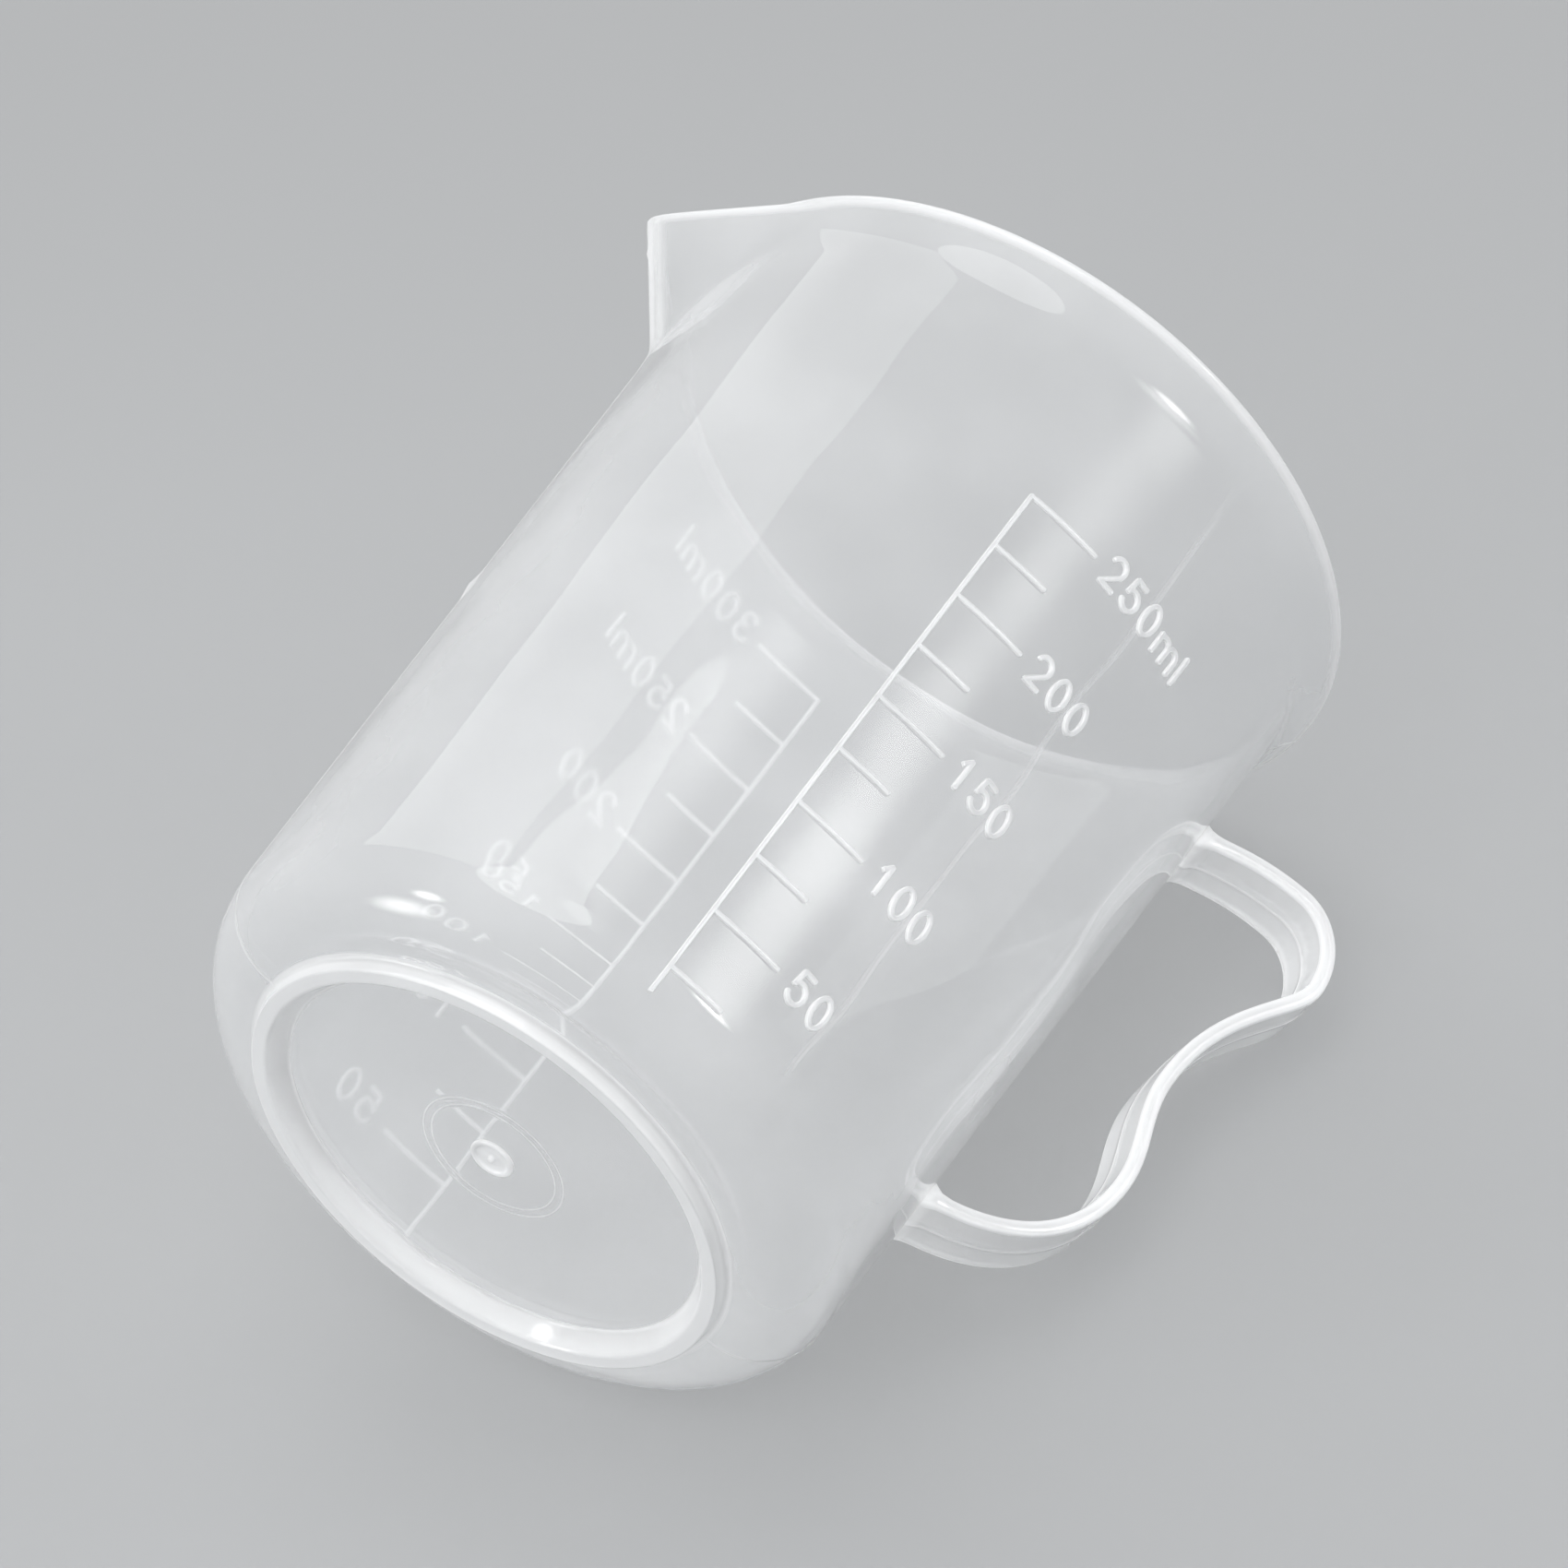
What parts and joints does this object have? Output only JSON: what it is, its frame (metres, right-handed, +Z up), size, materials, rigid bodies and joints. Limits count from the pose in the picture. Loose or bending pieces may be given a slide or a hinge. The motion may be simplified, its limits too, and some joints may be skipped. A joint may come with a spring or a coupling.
{
  "type": "graduated beaker",
  "caption": "Translucent plastic beaker with raised volume scales, a drooping V-shaped pouring spout, a flared rim and a bent strap handle, for measuring and pouring liquids.",
  "frame": {"origin": "on the plane the foot ring stands on, under the middle of the whole object's box, between the spout's tip and the handle's ear", "axes": "+Z up along the cup's axis; +X from the spout towards the handle; -Y faces the front scale"},
  "size_m": [0.0976, 0.0754, 0.0967],
  "materials": {
    "clear_plastic": "smooth, hazy, see-through",
    "mark_plastic": "smooth, hazy, raised"
  },
  "bodies": {
    "root": {"back_label_100_1": "mark_plastic", "back_label_100_2": "mark_plastic", "back_label_100_3": "mark_plastic", "back_label_150_1": "mark_plastic", "back_label_150_2": "mark_plastic", "back_label_150_3": "mark_plastic", "back_label_200_1": "mark_plastic", "back_label_200_2": "mark_plastic", "back_label_200_3": "mark_plastic", "back_label_250_1": "mark_plastic", "back_label_250_2": "mark_plastic", "back_label_250_3": "mark_plastic", "back_label_250_4": "mark_plastic", "back_label_250_5": "mark_plastic", "back_label_300_1": "mark_plastic", "back_label_300_2": "mark_plastic", "back_label_300_3": "mark_plastic", "back_label_300_4": "mark_plastic", "back_label_300_5": "mark_plastic", "back_label_50_1": "mark_plastic", "back_label_50_2": "mark_plastic", "back_scale": "mark_plastic", "cup": "clear_plastic", "front_label_100_1": "mark_plastic", "front_label_100_2": "mark_plastic", "front_label_100_3": "mark_plastic", "front_label_150_1": "mark_plastic", "front_label_150_2": "mark_plastic", "front_label_150_3": "mark_plastic", "front_label_200_1": "mark_plastic", "front_label_200_2": "mark_plastic", "front_label_200_3": "mark_plastic", "front_label_250_1": "mark_plastic", "front_label_250_2": "mark_plastic", "front_label_250_3": "mark_plastic", "front_label_250_4": "mark_plastic", "front_label_250_5": "mark_plastic", "front_label_50_1": "mark_plastic", "front_label_50_2": "mark_plastic", "front_scale": "mark_plastic", "gate_mark": "mark_plastic", "handle": "clear_plastic"}
  },
  "joints": []
}
